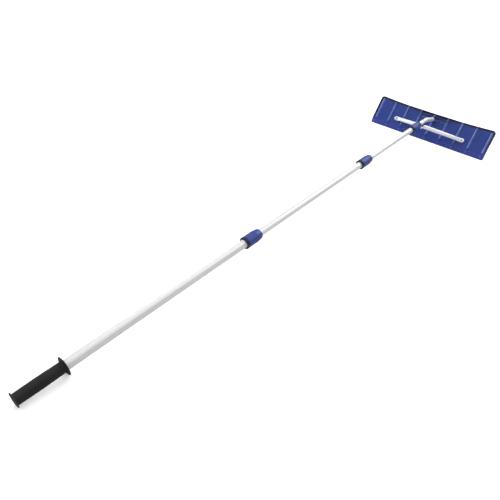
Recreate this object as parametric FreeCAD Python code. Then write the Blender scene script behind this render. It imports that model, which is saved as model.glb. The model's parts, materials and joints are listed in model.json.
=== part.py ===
"""Telescoping roof snow rake: a three-section aluminium pole with twist locks, and a ribbed blade.

Everything is first modelled in the pole's frame, in millimetres: the pole's axis is Y, the blade end
is +Y, the origin is on the axis in the middle of the head lock, X runs along the blade, and Z is up.
At the end the whole rake is laid down on the ground, on the grip's front flange and on the blade's
scraping edge, with the origin under the middle of its box.
"""
import FreeCAD, Part

import math
import os

from FreeCAD import Placement, Rotation, Vector

# ---- pole tubes -------------------------------------------------------------------------------
LOWER_TUBE_OD = 32.0       # the lower tube; each smaller tube follows from the bore outside it
TUBE_WALL = 1.2            # one wall for the three pole tubes and the neck
TUBE_GAP = 0.55            # radial gap between a tube and the next one inside it
LOWER_TUBE_LENGTH = 942.5
MIDDLE_TUBE_LENGTH = 900.0
UPPER_TUBE_LENGTH = 860.0
LOWER_EXPOSED = 758.0      # from the lower lock's foot to the upper lock's foot, as set at rest
UPPER_EXPOSED = 465.0      # from the upper lock's foot to the head lock's foot, as set at rest
HEAD_LOCK_FOOT_Y = -40.0   # the head lock's foot on the pole's axis
SEAT_GAP = 0.04            # radial gap of pieces that are glued, riveted or pressed together
RUN_GAP = 0.08             # radial running gap of a guide or a collet on its tube
FREE_GAP = 0.35            # gap between pieces that turn or slide past each other untouched

# ---- twist locks ------------------------------------------------------------------------------
FERRULE_LENGTH = 9.5       # fixed ring at each lock's foot
FERRULE_WALL = 7.6         # how far that ring stands out from its tube
FERRULE_REAR_ROUND = 2.5
FERRULE_FRONT_ROUND = 2.0
SLEEVE_WALL = 2.2          # threaded sleeve between the ferrule and the tube's end
SLEEVE_LIP = 3.0           # lip that closes the sleeve over the tube's end
SLEEVE_PAST_FOOT = 60.0    # from the lock's foot to the end of the tube that carries it
THREAD_DEPTH = 0.8
THREAD_PITCH = 4.5
THREAD_TURNS = 6
THREAD_FROM_FERRULE = 6.75  # from the ferrule to the first turn's middle
COLLET_LENGTH = 13.0
COLLET_THICK = 2.6         # at the wide end of its cone
COLLET_THIN = 1.2          # at the narrow end of its cone
COLLET_BASE = 3.0          # unsplit ring at its wide end
COLLET_SLOTS = 4
COLLET_SLOT_WIDTH = 2.0
COLLAR_WALL = 4.0          # thinnest wall of the twist collar, over the thread
COLLAR_NOSE = 6.0          # how far the collar's nose stands out from the tube that passes through it
COLLAR_NOSE_WALL = 5.0     # end wall of the collar in front of the collet
COLLAR_TAPER = 0.34        # share of the collar's length that tapers to its nose
COLLAR_NOSE_ROUND = 3.0
COLLAR_SHOULDER_ROUND = 12.0
COLLAR_REAR_ROUND = 1.0
COLLAR_FLUTES = 12
FLUTE_RADIUS = 3.2
FLUTE_DEPTH = 0.9
FLUTE_FROM_REAR = 5.0
FLUTE_FROM_SHOULDER = 4.0
RIVET_DIAMETER = 3.6
RIVET_FROM_FOOT = 4.8

# ---- guides and end plug ----------------------------------------------------------------------
GUIDE_FLANGE = 12.0        # part of each guide that runs in the bore outside it
GUIDE_SPIGOT = 18.0        # part of each guide that is pressed into its own tube
GUIDE_WALL = 2.0
PLUG_SPIGOT = 24.0
PLUG_HEAD = 1.5
PLUG_WALL = 2.0

# ---- grip -------------------------------------------------------------------------------------
GRIP_LENGTH = 152.0
GRIP_END_WALL = 3.0
GRIP_WALL = 2.0            # over the tube, beside the flanges
GRIP_SWELL = 0.8           # how much fuller the grip is in its middle
END_FLANGE_OUT = 8.0       # how far the end flange stands out from the tube
FRONT_FLANGE_OUT = 14.5    # the same for the front flange, which keeps the hand from slipping off
FLANGE_THICK = 3.0
FLANGE_ROUND = 1.4         # rounding of both flanges' rims
FRONT_FILLET = 7.0         # hollow curve from the grip up to its front flange
END_FILLET = 2.5

# ---- neck -------------------------------------------------------------------------------------
NECK_TAIL_Y = -105.0       # inner end of the neck, inside the upper tube
NECK_BEND_Y = 106.0        # where the neck starts to bend down
NECK_BEND_RADIUS = 95.0
BLADE_CENTRE_Y = 193.8     # middle of the blade's front face
BLADE_CENTRE_Z = -63.1
BLADE_TILT = 37.0          # degrees from upright, with the bottom edge towards the user

# ---- blade ------------------------------------------------------------------------------------
BLADE_LENGTH = 648.0
BLADE_HEIGHT = 155.0       # at its ends
TOP_DIP = 10.0             # how far the top edge dips in the middle
BLADE_THICK = 3.0
TOP_CORNER_RADIUS = 15.0
BOTTOM_CORNER_RADIUS = 9.0
SIDE_BAND = 12.0           # raised band along each end
TOP_BAND = 10.0            # the same along the top edge
BOTTOM_BAND = 21.0         # the same along the scraping edge
BAND_RISE = 1.5
BAND_EDGE = 1.0            # bevel on the band's inner edge
BAND_CORNER = 6.0
RIM_WALL = 2.5             # rim along the top edge and both ends
RIM_HEIGHT = 6.0
RIBS = 7
RIB_PITCH = 77.0
RIB_WIDTH = 10.0
RIB_CROWN = 5.5            # width of a rib's flat top
RIB_HEIGHT = 5.0
RIB_FOOT_GAP = 10.0        # from the bottom edge to the foot of the ribs
RIB_TAPER = 26.0           # length over which a rib rises to its full height
RIB_TOE_HEIGHT = 3.0       # height of its toe, where the taper starts
HOOD_HEIGHT = 12.0         # where the top rim deepens over the socket
HOOD_REACH = 147.0         # from the middle to where the rim starts to deepen
GUSSET_WALL = 4.0
GUSSET_DROP = 62.0         # length of the two tall gussets down the blade
GUSSET_TOP = 16.0          # how far they run level under the hood before they slope down
ROOT = 1.0                 # how far each moulded feature reaches into the wall that carries it
SOCKET_UP = 39.5           # the neck meets the blade this far above its middle
SOCKET_WALL = 4.0
SOCKET_FRONT = 15.0        # height of the socket in front of the blade
SOCKET_BACK = 16.0         # depth of the cup behind the blade
SOCKET_FLOOR = 3.0
SOCKET_BOLT_H = 5.5        # height of the cross bolt above the blade's face
SOCKET_FLAT_DEPTH = 1.2    # flats on the socket's sides for the cross bolt

# ---- brace ------------------------------------------------------------------------------------
BRACE_OD = 19.0
BRACE_WALL = 1.2
BRACE_APEX_Y = 86.0        # where the brace crosses under the neck
BRACE_APEX_RADIUS = 38.0
BRACE_FOOT_X = 188.0       # bolt centre in each foot
BRACE_FOOT_DOWN = 17.0     # the feet sit this far below the blade's middle
BRACE_END_WIDTH = 20.0
BRACE_END_THICK = 4.4
BRACE_END_LENGTH = 24.0    # flat part of each foot
BRACE_PRESS_LENGTH = 28.0  # from round tube to flat foot
SADDLE_THICK = 2.0         # least thickness of the spacer between the neck and the brace
SADDLE_LENGTH = 30.0
SADDLE_CORNER = 4.0
PAD_ABOVE_RIBS = 0.4       # the pads under the brace's feet stand this far above the ribs
PAD_LENGTH = 28.0
PAD_WIDTH = 26.0
PAD_CORNER = 5.0
PAD_EDGE = 1.0

# ---- fasteners --------------------------------------------------------------------------------
BOLT_DIAMETER = 6.0
BOLT_HEAD_DIAMETER = 12.0
BOLT_HEAD_HEIGHT = 3.4
BOLT_HOLE_GAP = 0.25       # radial
NUT_ACROSS = 10.0
NUT_HEIGHT = 5.0
NUT_CHAMFER = 0.6
BOLT_PAST_NUT = 1.5
WASHER_OD = 14.0
WASHER_THICK = 1.2
FACE_GAP = 0.02            # between faces that are bolted together

Y_AXIS = Vector(0, 1, 0)

# ---- sizes that follow ------------------------------------------------------------------------
MIDDLE_TUBE_OD = LOWER_TUBE_OD - 2 * (TUBE_WALL + TUBE_GAP)
UPPER_TUBE_OD = MIDDLE_TUBE_OD - 2 * (TUBE_WALL + TUBE_GAP)
NECK_OD = UPPER_TUBE_OD - 2 * (TUBE_WALL + TUBE_GAP)
UPPER_LOCK_FOOT_Y = HEAD_LOCK_FOOT_Y - UPPER_EXPOSED
LOWER_LOCK_FOOT_Y = UPPER_LOCK_FOOT_Y - LOWER_EXPOSED
LOWER_TUBE_END = LOWER_LOCK_FOOT_Y + SLEEVE_PAST_FOOT
MIDDLE_TUBE_END = UPPER_LOCK_FOOT_Y + SLEEVE_PAST_FOOT
UPPER_TUBE_END = HEAD_LOCK_FOOT_Y + SLEEVE_PAST_FOOT
LOWER_TUBE_TAIL = LOWER_TUBE_END - LOWER_TUBE_LENGTH
MIDDLE_TUBE_TAIL = MIDDLE_TUBE_END - MIDDLE_TUBE_LENGTH
UPPER_TUBE_TAIL = UPPER_TUBE_END - UPPER_TUBE_LENGTH
GRIP_END_Y = LOWER_TUBE_TAIL - PLUG_HEAD - FACE_GAP - GRIP_END_WALL
END_FLANGE_RADIUS = LOWER_TUBE_OD / 2 + END_FLANGE_OUT
FRONT_FLANGE_RADIUS = LOWER_TUBE_OD / 2 + FRONT_FLANGE_OUT
COLLET_START = SLEEVE_PAST_FOOT + SLEEVE_LIP + FACE_GAP
COLLAR_END = COLLET_START + COLLET_LENGTH + FREE_GAP + COLLAR_NOSE_WALL
COLLAR_LENGTH = COLLAR_END - FERRULE_LENGTH - FREE_GAP
PAD_HEIGHT = RIB_HEIGHT + PAD_ABOVE_RIBS
NUT_CORNER = NUT_ACROSS / math.sqrt(3)
BOLT_HOLE = BOLT_DIAMETER / 2 + BOLT_HOLE_GAP

TILT = math.radians(BLADE_TILT)
BLADE_CENTRE = Vector(0, BLADE_CENTRE_Y, BLADE_CENTRE_Z)
BLADE_UP = Vector(0, math.sin(TILT), math.cos(TILT))
BLADE_OUT = Vector(0, -math.cos(TILT), math.sin(TILT))
ON_BLADE = Placement(BLADE_CENTRE, Rotation(Vector(1, 0, 0), 90 - BLADE_TILT))


# ---- helpers ----------------------------------------------------------------------------------
def ring(y0, y1, outer, inner=0.0):
    """A tube or disc about the pole's axis, from y0 to y1, by its radii."""
    solid = Part.makeCylinder(outer, y1 - y0, Vector(0, y0, 0), Y_AXIS)
    if inner > 0:
        solid = solid.cut(Part.makeCylinder(inner, y1 - y0 + 2, Vector(0, y0 - 1, 0), Y_AXIS))
    return solid


def turned(profile):
    """Turn a closed outline of (radius, y) points about the pole's axis."""
    points = [Vector(radius, y, 0) for radius, y in profile]
    face = Part.Face(Part.makePolygon(points + points[:1]))
    return face.revolve(Vector(0, 0, 0), Y_AXIS, 360)


def rod(start, end, radius):
    """A round rod between two points."""
    return Part.makeCylinder(radius, (end - start).Length, start, end - start)


def prism(points, along):
    """A flat outline pushed along a vector."""
    return Part.Face(Part.makePolygon(points + points[:1])).extrude(along)


def box_between(x0, x1, y0, y1, z0, z1):
    return Part.makeBox(x1 - x0, y1 - y0, z1 - z0, Vector(x0, y0, z0))


def round_circles(shape, radius, wanted):
    """Round the circular edges for which wanted(edge's radius, edge's y) is true."""
    edges = [e for e in shape.Edges
             if isinstance(e.Curve, Part.Circle) and wanted(e.Curve.Radius, e.Curve.Center.y)]
    return shape.makeFillet(radius, edges)


def mirrored(shape):
    return shape.mirror(Vector(0, 0, 0), Vector(1, 0, 0))


def close_to(a, b):
    return abs(a - b) < 1e-3


# ---- pole -------------------------------------------------------------------------------------
def rivet_rods(foot, inner, outer, gap=0.0):
    """Rods across one lock at its two rivets, between two distances from the axis."""
    y = foot + RIVET_FROM_FOOT
    radius = RIVET_DIAMETER / 2 + gap
    return [rod(Vector(side * inner, y, 0), Vector(side * outer, y, 0), radius) for side in (-1, 1)]


def rivet_holes(foot, tube_od):
    """Cutters for the rivets' holes, through the tube's wall and the ferrule."""
    return rivet_rods(foot, tube_od / 2 - 2 * TUBE_WALL, tube_od / 2 + 2 * FERRULE_WALL, SEAT_GAP)


def lock_rivets(foot, tube_od):
    """The two rivets that hold a lock on its tube: flush in the bore, and rounded off by the ferrule."""
    limit = ring(foot, foot + FERRULE_LENGTH, tube_od / 2 + FERRULE_WALL, tube_od / 2 - TUBE_WALL)
    rods = rivet_rods(foot, tube_od / 2 - 2 * TUBE_WALL, tube_od / 2 + 2 * FERRULE_WALL)
    return Part.makeCompound([piece.common(limit) for piece in rods])


def pole_tube(tail, end, outer_d, lock_foot):
    """One pole section, drilled for the two rivets of the lock at its end."""
    tube = ring(tail, end, outer_d / 2, outer_d / 2 - TUBE_WALL)
    for hole in rivet_holes(lock_foot, outer_d):
        tube = tube.cut(hole)
    return tube


def tube_guide(tail, tube_od, bore_outside):
    """Plastic bush in a tube's tail, which runs in the bore of the tube outside it."""
    spigot = tube_od / 2 - TUBE_WALL - SEAT_GAP
    flange = bore_outside / 2 - RUN_GAP
    bush = ring(tail - GUIDE_FLANGE, tail, flange, spigot - GUIDE_WALL)
    bush = bush.fuse(ring(tail, tail + GUIDE_SPIGOT, spigot, spigot - GUIDE_WALL)).removeSplitter()
    return bush


def end_plug():
    bore = LOWER_TUBE_OD / 2 - TUBE_WALL - SEAT_GAP
    head = ring(LOWER_TUBE_TAIL - PLUG_HEAD, LOWER_TUBE_TAIL, LOWER_TUBE_OD / 2)
    cup = ring(LOWER_TUBE_TAIL, LOWER_TUBE_TAIL + PLUG_SPIGOT, bore, bore - PLUG_WALL)
    return head.fuse(cup).removeSplitter()


def grip():
    """Rubber grip with a closed end, a small end flange and a large front flange."""
    bore = LOWER_TUBE_OD / 2 + SEAT_GAP
    body = bore + GRIP_WALL
    end = GRIP_END_Y + GRIP_LENGTH
    first = GRIP_END_Y + FLANGE_THICK
    last = end - FLANGE_THICK
    swell = Vector(body + GRIP_SWELL, (first + last) / 2, 0)
    corners = [Vector(body, last, 0), Vector(FRONT_FLANGE_RADIUS, last, 0),
               Vector(FRONT_FLANGE_RADIUS, end, 0), Vector(0, end, 0), Vector(0, GRIP_END_Y, 0),
               Vector(END_FLANGE_RADIUS, GRIP_END_Y, 0), Vector(END_FLANGE_RADIUS, first, 0),
               Vector(body, first, 0)]
    straight = Part.makePolygon(corners).Edges
    hand = Part.Arc(corners[-1], swell, corners[0]).toShape()
    solid = Part.Face(Part.Wire(straight + [hand])).revolve(Vector(0, 0, 0), Y_AXIS, 360)
    solid = round_circles(solid, FRONT_FILLET, lambda r, y: close_to(r, body) and close_to(y, last))
    solid = round_circles(solid, END_FILLET, lambda r, y: close_to(r, body) and close_to(y, first))
    for radius in (FRONT_FLANGE_RADIUS, END_FLANGE_RADIUS):
        solid = round_circles(solid, FLANGE_ROUND, lambda r, y: close_to(r, radius))
    return solid.cut(ring(GRIP_END_Y + GRIP_END_WALL, end + 1, bore))


# ---- twist locks ------------------------------------------------------------------------------
def lock_radii(tube_od, inner_od):
    """Radii that the pieces of one lock share."""
    sleeve = tube_od / 2 + SEAT_GAP + SLEEVE_WALL
    crest = sleeve + THREAD_DEPTH
    return {"sleeve": sleeve, "crest": crest, "bore": crest + FREE_GAP,
            "body": crest + FREE_GAP + COLLAR_WALL, "nose": inner_od / 2 + COLLAR_NOSE,
            "collet": inner_od / 2 + RUN_GAP}


def lock_sleeve(foot, tube_od, inner_od):
    """Fixed half of a lock: ferrule, threaded sleeve, and a lip over the tube's end."""
    r = lock_radii(tube_od, inner_od)
    seat = tube_od / 2 + SEAT_GAP
    flange = tube_od / 2 + FERRULE_WALL
    end = foot + SLEEVE_PAST_FOOT
    front = foot + FERRULE_LENGTH
    ferrule = ring(foot, front, flange)
    ferrule = round_circles(ferrule, FERRULE_FRONT_ROUND, lambda radius, y: close_to(y, front))
    ferrule = round_circles(ferrule, FERRULE_REAR_ROUND, lambda radius, y: close_to(y, foot))
    sleeve = ring(front - ROOT, end + SLEEVE_LIP, r["sleeve"])
    solid = ferrule.fuse(sleeve).removeSplitter()
    half = THREAD_PITCH / 4
    for turn in range(THREAD_TURNS):
        y = front + THREAD_FROM_FERRULE + THREAD_PITCH * turn
        solid = solid.fuse(turned([(r["sleeve"] - ROOT, y - half), (r["sleeve"], y - half),
                                   (r["crest"], y - half / 2), (r["crest"], y + half / 2),
                                   (r["sleeve"], y + half), (r["sleeve"] - ROOT, y + half)]))
    solid = solid.cut(ring(foot - 1, end + SEAT_GAP, seat))
    solid = solid.cut(ring(foot - 1, end + SLEEVE_LIP + 1, inner_od / 2 + FREE_GAP))
    for hole in rivet_holes(foot, tube_od):
        solid = solid.cut(hole)
    return solid.removeSplitter()


def lock_collet(foot, tube_od, inner_od):
    """Split cone between the sleeve's lip and the collar's nose, which grips the inner tube."""
    bore = lock_radii(tube_od, inner_od)["collet"]
    y0 = foot + COLLET_START
    y1 = y0 + COLLET_LENGTH
    solid = turned([(bore, y0), (bore + COLLET_THICK, y0), (bore + COLLET_THICK, y0 + COLLET_BASE),
                    (bore + COLLET_THIN, y1), (bore, y1)])
    reach = bore + 2 * COLLET_THICK
    half = COLLET_SLOT_WIDTH / 2
    for i in range(COLLET_SLOTS):
        slot = box_between(0, reach, y0 + COLLET_BASE, y1 + 1, -half, half)
        slot.rotate(Vector(0, 0, 0), Y_AXIS, 360 * (i + 0.5) / COLLET_SLOTS)
        solid = solid.cut(slot)
    return solid


def ball_ended_rod(y0, y1, offset):
    """A cutter with ball ends along the pole's direction, standing off from its axis."""
    y0 = y0 + FLUTE_RADIUS
    y1 = y1 - FLUTE_RADIUS
    solid = Part.makeCylinder(FLUTE_RADIUS, y1 - y0, Vector(offset, y0, 0), Y_AXIS)
    for y in (y0, y1):
        solid = solid.fuse(Part.makeSphere(FLUTE_RADIUS, Vector(offset, y, 0)))
    return solid


def lock_collar(foot, tube_od, inner_od):
    """Twist collar: it turns on the sleeve's thread and closes the collet."""
    r = lock_radii(tube_od, inner_od)
    y0 = foot + FERRULE_LENGTH + FREE_GAP
    y1 = y0 + COLLAR_LENGTH
    shoulder = y1 - COLLAR_LENGTH * COLLAR_TAPER
    outside = turned([(0, y0), (r["body"], y0), (r["body"], shoulder), (r["nose"], y1), (0, y1)])
    outside = round_circles(outside, COLLAR_NOSE_ROUND, lambda radius, y: close_to(radius, r["nose"]))
    outside = round_circles(outside, COLLAR_SHOULDER_ROUND, lambda radius, y: close_to(y, shoulder))
    outside = round_circles(outside, COLLAR_REAR_ROUND, lambda radius, y: close_to(y, y0))
    flute_axis = r["body"] + FLUTE_RADIUS - FLUTE_DEPTH
    for i in range(COLLAR_FLUTES):
        flute = ball_ended_rod(y0 + FLUTE_FROM_REAR, shoulder - FLUTE_FROM_SHOULDER, flute_axis)
        flute.rotate(Vector(0, 0, 0), Y_AXIS, 360 * (i + 0.5) / COLLAR_FLUTES)
        outside = outside.cut(flute)
    collet0 = foot + COLLET_START
    seat = collet0 + COLLET_LENGTH + FREE_GAP
    wide = r["collet"] + COLLET_THICK + FREE_GAP
    thin = r["collet"] + COLLET_THIN + FREE_GAP
    tube = inner_od / 2 + FREE_GAP
    inside = turned([(0, y0 - 1), (r["bore"], y0 - 1), (r["bore"], collet0), (wide, collet0 + COLLET_BASE),
                     (thin, seat), (tube, seat), (tube, y1 + 1), (0, y1 + 1)])
    return outside.cut(inside)


# ---- neck -------------------------------------------------------------------------------------
SOCKET_POINT = BLADE_CENTRE + BLADE_UP * SOCKET_UP
FROM_BEND = SOCKET_POINT - Vector(0, NECK_BEND_Y, -NECK_BEND_RADIUS)
BEND_DISTANCE = math.hypot(FROM_BEND.y, FROM_BEND.z)
NECK_BEND = math.atan2(FROM_BEND.y, FROM_BEND.z) - math.acos(NECK_BEND_RADIUS / BEND_DISTANCE)
NECK_ALONG = Vector(0, math.cos(NECK_BEND), -math.sin(NECK_BEND))
NECK_END = SOCKET_POINT + NECK_ALONG * (SOCKET_BACK - SOCKET_FLOOR - FACE_GAP)
CROSS_BOLT_CENTRE = SOCKET_POINT - NECK_ALONG * SOCKET_BOLT_H
APEX_Z = -(NECK_OD / 2 + SADDLE_THICK + BRACE_OD / 2)
APEX = Vector(0, BRACE_APEX_Y, APEX_Z)


def neck_core(radius, tail, beyond=0.0):
    """Round bar that follows the neck's line from tail to the socket's floor, plus beyond."""
    bend_end = Vector(0, NECK_BEND_Y + NECK_BEND_RADIUS * math.sin(NECK_BEND),
                      NECK_BEND_RADIUS * (math.cos(NECK_BEND) - 1))
    disc = Part.Face(Part.Wire(Part.makeCircle(radius, Vector(0, NECK_BEND_Y, 0), Y_AXIS)))
    bend = disc.revolve(Vector(0, NECK_BEND_Y, -NECK_BEND_RADIUS), Vector(-1, 0, 0), math.degrees(NECK_BEND))
    straight = rod(Vector(0, tail, 0), Vector(0, NECK_BEND_Y, 0), radius)
    last = rod(bend_end, NECK_END + NECK_ALONG * beyond, radius)
    return straight.fuse([bend, last]).removeSplitter()


def neck_tube():
    """Bent tube from the head lock to the blade's socket, drilled for its two bolts."""
    solid = neck_core(NECK_OD / 2, NECK_TAIL_Y)
    solid = solid.cut(neck_core(NECK_OD / 2 - TUBE_WALL, NECK_TAIL_Y - 1, 1))
    reach = Vector(NECK_OD, 0, 0)
    solid = solid.cut(rod(CROSS_BOLT_CENTRE - reach, CROSS_BOLT_CENTRE + reach, BOLT_HOLE))
    return solid.cut(rod(Vector(0, BRACE_APEX_Y, -NECK_OD), Vector(0, BRACE_APEX_Y, NECK_OD), BOLT_HOLE))


# ---- blade ------------------------------------------------------------------------------------
HALF_LENGTH = BLADE_LENGTH / 2
HALF_HEIGHT = BLADE_HEIGHT / 2
SOCKET_RADIUS = NECK_OD / 2 + SEAT_GAP + SOCKET_WALL
SOCKET_FLAT = SOCKET_RADIUS - SOCKET_FLAT_DEPTH


def rib(x):
    """Moulded rib down the blade's front, with rounded crown edges, which tapers down to a toe."""
    foot = -HALF_HEIGHT + RIB_FOOT_GAP
    top = HALF_HEIGHT
    half = RIB_WIDTH / 2
    crown = RIB_CROWN / 2
    bar = prism([Vector(-half, foot, -ROOT), Vector(-half, foot, 0), Vector(-crown, foot, RIB_HEIGHT),
                 Vector(crown, foot, RIB_HEIGHT), Vector(half, foot, 0), Vector(half, foot, -ROOT)],
                Vector(0, top - foot, 0))
    edges = [e for e in bar.Edges if close_to(e.BoundBox.ZMin, RIB_HEIGHT) and e.Length > RIB_WIDTH]
    bar = bar.makeFillet(crown / 2, edges)
    taper = [Vector(-half, foot, -ROOT), Vector(-half, foot, 0),
             Vector(-half, foot + RIB_TOE_HEIGHT, RIB_TOE_HEIGHT), Vector(-half, foot + RIB_TAPER, RIB_HEIGHT),
             Vector(-half, foot + RIB_TAPER, RIB_HEIGHT + 1), Vector(-half, top, RIB_HEIGHT + 1),
             Vector(-half, top, -ROOT)]
    bar = bar.common(prism(taper, Vector(RIB_WIDTH, 0, 0)))
    bar.translate(Vector(x, 0, 0))
    return bar


def blade_outline(ends=0.0, top=0.0, bottom=0.0, top_radius=TOP_CORNER_RADIUS,
                  bottom_radius=BOTTOM_CORNER_RADIUS):
    """Deep block with the blade's rounded outline, moved in at the ends, the top and the bottom."""
    depth = 2 * (SOCKET_BACK + HOOD_HEIGHT)
    half = HALF_LENGTH - ends
    high = HALF_HEIGHT - top
    low = bottom - HALF_HEIGHT
    corners = [Vector(half, high, -depth), Vector(half, low, -depth), Vector(-half, low, -depth),
               Vector(-half, high, -depth)]
    dip = Part.Arc(corners[-1], Vector(0, high - TOP_DIP, -depth), corners[0]).toShape()
    block = Part.Face(Part.Wire(Part.makePolygon(corners).Edges + [dip])).extrude(Vector(0, 0, 2 * depth))
    for radius, y in ((top_radius, high), (bottom_radius, low)):
        block = block.makeFillet(radius, [e for e in block.Edges if e.BoundBox.ZLength > depth
                                          and close_to(e.BoundBox.YMin, y) and close_to(e.BoundBox.YMax, y)])
    return block


def band():
    """Raised band all round the blade, with a bevelled inner edge."""
    slab = box_between(-HALF_LENGTH, HALF_LENGTH, -HALF_HEIGHT, HALF_HEIGHT, -ROOT, BAND_RISE)
    solid = slab.common(blade_outline())
    solid = solid.cut(blade_outline(SIDE_BAND, TOP_BAND, BOTTOM_BAND, BAND_CORNER, BAND_CORNER))
    inner = [e for e in solid.Edges if close_to(e.BoundBox.ZMin, BAND_RISE)
             and all(abs(v.X) < HALF_LENGTH - SIDE_BAND / 2 and v.Y > BOTTOM_BAND / 2 - HALF_HEIGHT
                     and v.Y < HALF_HEIGHT - TOP_BAND / 2 for v in e.Vertexes)]
    return solid.makeChamfer(BAND_EDGE, inner)


def rim():
    """Rim along the top edge and both ends, which deepens into a hood over the socket."""
    y = BOTTOM_BAND - HALF_HEIGHT
    section = [Vector(-HALF_LENGTH, y, -ROOT), Vector(-HALF_LENGTH, y, RIM_HEIGHT),
               Vector(-HOOD_REACH, y, RIM_HEIGHT), Vector(-RIB_PITCH, y, HOOD_HEIGHT),
               Vector(RIB_PITCH, y, HOOD_HEIGHT), Vector(HOOD_REACH, y, RIM_HEIGHT),
               Vector(HALF_LENGTH, y, RIM_HEIGHT), Vector(HALF_LENGTH, y, -ROOT)]
    solid = prism(section, Vector(0, BLADE_HEIGHT, 0)).common(blade_outline())
    return solid.cut(blade_outline(RIM_WALL, RIM_WALL, -BLADE_HEIGHT, TOP_CORNER_RADIUS - RIM_WALL))


def gusset(x):
    """Tall gusset that carries the hood down one of the two ribs beside the socket."""
    x0 = x - GUSSET_WALL / 2
    top = HALF_HEIGHT - ROOT
    foot = HALF_HEIGHT - GUSSET_DROP
    side = [Vector(x0, top, -ROOT), Vector(x0, top, HOOD_HEIGHT), Vector(x0, top - GUSSET_TOP, HOOD_HEIGHT),
            Vector(x0, foot, RIB_HEIGHT - ROOT), Vector(x0, foot, -ROOT)]
    return prism(side, Vector(GUSSET_WALL, 0, 0))


def socket_web():
    """Web across the blade from gusset to gusset, over the socket."""
    y = SOCKET_UP + SOCKET_RADIUS - RIM_WALL
    section = [Vector(-RIB_PITCH, y, -ROOT), Vector(-RIB_PITCH, y, RIB_HEIGHT),
               Vector(-SOCKET_RADIUS, y, SOCKET_FRONT), Vector(SOCKET_RADIUS, y, SOCKET_FRONT),
               Vector(RIB_PITCH, y, RIB_HEIGHT), Vector(RIB_PITCH, y, -ROOT)]
    return prism(section, Vector(0, RIM_WALL, 0))


def foot_pad():
    """Pad under the brace's +X foot."""
    solid = box_between(BRACE_FOOT_X - PAD_LENGTH / 2, BRACE_FOOT_X + PAD_LENGTH / 2,
                        -BRACE_FOOT_DOWN - PAD_WIDTH / 2, -BRACE_FOOT_DOWN + PAD_WIDTH / 2, -ROOT, PAD_HEIGHT)
    solid = solid.makeFillet(PAD_CORNER, [e for e in solid.Edges if e.BoundBox.ZLength > PAD_HEIGHT])
    return solid.makeFillet(PAD_EDGE, [e for e in solid.Edges if close_to(e.BoundBox.ZMin, PAD_HEIGHT)])


def blade():
    """Moulded blade with its ribs, band, rim, hood, neck socket and brace pads."""
    solid = box_between(-HALF_LENGTH, HALF_LENGTH, -HALF_HEIGHT, HALF_HEIGHT, -BLADE_THICK, 0)
    pieces = [rib(RIB_PITCH * (i - (RIBS - 1) / 2)) for i in range(RIBS)]
    pieces += [band(), rim(), socket_web(), foot_pad(), mirrored(foot_pad()), gusset(-RIB_PITCH),
               gusset(RIB_PITCH)]
    solid = solid.fuse(pieces).common(blade_outline())
    for side in (-1, 1):
        centre = Vector(side * BRACE_FOOT_X, -BRACE_FOOT_DOWN, 0)
        solid = solid.cut(Part.makeCylinder(BOLT_HOLE, 4 * PAD_HEIGHT, centre - Vector(0, 0, 2 * PAD_HEIGHT)))
    solid = solid.transformed(ON_BLADE.toMatrix())
    front = SOCKET_POINT - NECK_ALONG * SOCKET_FRONT
    back = SOCKET_POINT + NECK_ALONG * SOCKET_BACK
    solid = solid.fuse(rod(front, back, SOCKET_RADIUS)).removeSplitter()
    reach = Vector(4 * SOCKET_RADIUS, 0, 0)
    for side in (-1, 1):
        flat = CROSS_BOLT_CENTRE + Vector(side * SOCKET_FLAT, 0, 0)
        solid = solid.cut(rod(flat, flat + reach * side, WASHER_OD / 2 + ROOT))
    solid = solid.cut(rod(CROSS_BOLT_CENTRE - reach, CROSS_BOLT_CENTRE + reach, BOLT_HOLE))
    bore = rod(front - NECK_ALONG * SOCKET_FRONT, NECK_END + NECK_ALONG * FACE_GAP, NECK_OD / 2 + SEAT_GAP)
    return solid.cut(bore)


# ---- brace ------------------------------------------------------------------------------------
FOOT_SEAT = PAD_HEIGHT + FACE_GAP
FOOT_CENTRE = BLADE_CENTRE - BLADE_UP * BRACE_FOOT_DOWN + BLADE_OUT * (FOOT_SEAT + BRACE_END_THICK / 2)
RISE = APEX - FOOT_CENTRE
BRACE_RISE = RISE.Length
BRACE_OUT = RISE * (1 / BRACE_RISE)
BRACE_NORMAL = Vector(1, 0, 0).cross(BRACE_OUT)
FLAT_INNER_X = BRACE_FOOT_X - BRACE_END_LENGTH / 2


def arm_slope():
    """Slope of the brace's arms, so that the inside of its bend passes through the apex."""
    slope = math.atan2(BRACE_RISE, FLAT_INNER_X)
    for step in range(30):
        corner = BRACE_RISE + BRACE_APEX_RADIUS * (1 / math.cos(slope) - 1)
        slope = math.atan2(corner, FLAT_INNER_X)
    return slope


ARM_SLOPE = arm_slope()
ARM_DOWN = Vector(math.cos(ARM_SLOPE), 0, 0) - BRACE_OUT * math.sin(ARM_SLOPE)
FLAT_START = FOOT_CENTRE + Vector(FLAT_INNER_X, 0, 0)
PRESS_START = FLAT_START - ARM_DOWN * BRACE_PRESS_LENGTH
BEND_CENTRE = APEX - BRACE_OUT * BRACE_APEX_RADIUS


def brace_round(radius):
    """Round part of the brace: both arms and the bend under the neck."""
    arm = Vector(math.sin(ARM_SLOPE), 0, 0) + BRACE_OUT * math.cos(ARM_SLOPE)
    bend_end = BEND_CENTRE + arm * BRACE_APEX_RADIUS
    disc = Part.Face(Part.Wire(Part.makeCircle(radius, bend_end, ARM_DOWN)))
    bend = disc.revolve(BEND_CENTRE, BRACE_NORMAL * -1, -2 * math.degrees(ARM_SLOPE))
    straight = rod(bend_end, PRESS_START, radius)
    return bend.fuse([straight, mirrored(straight)])


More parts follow.
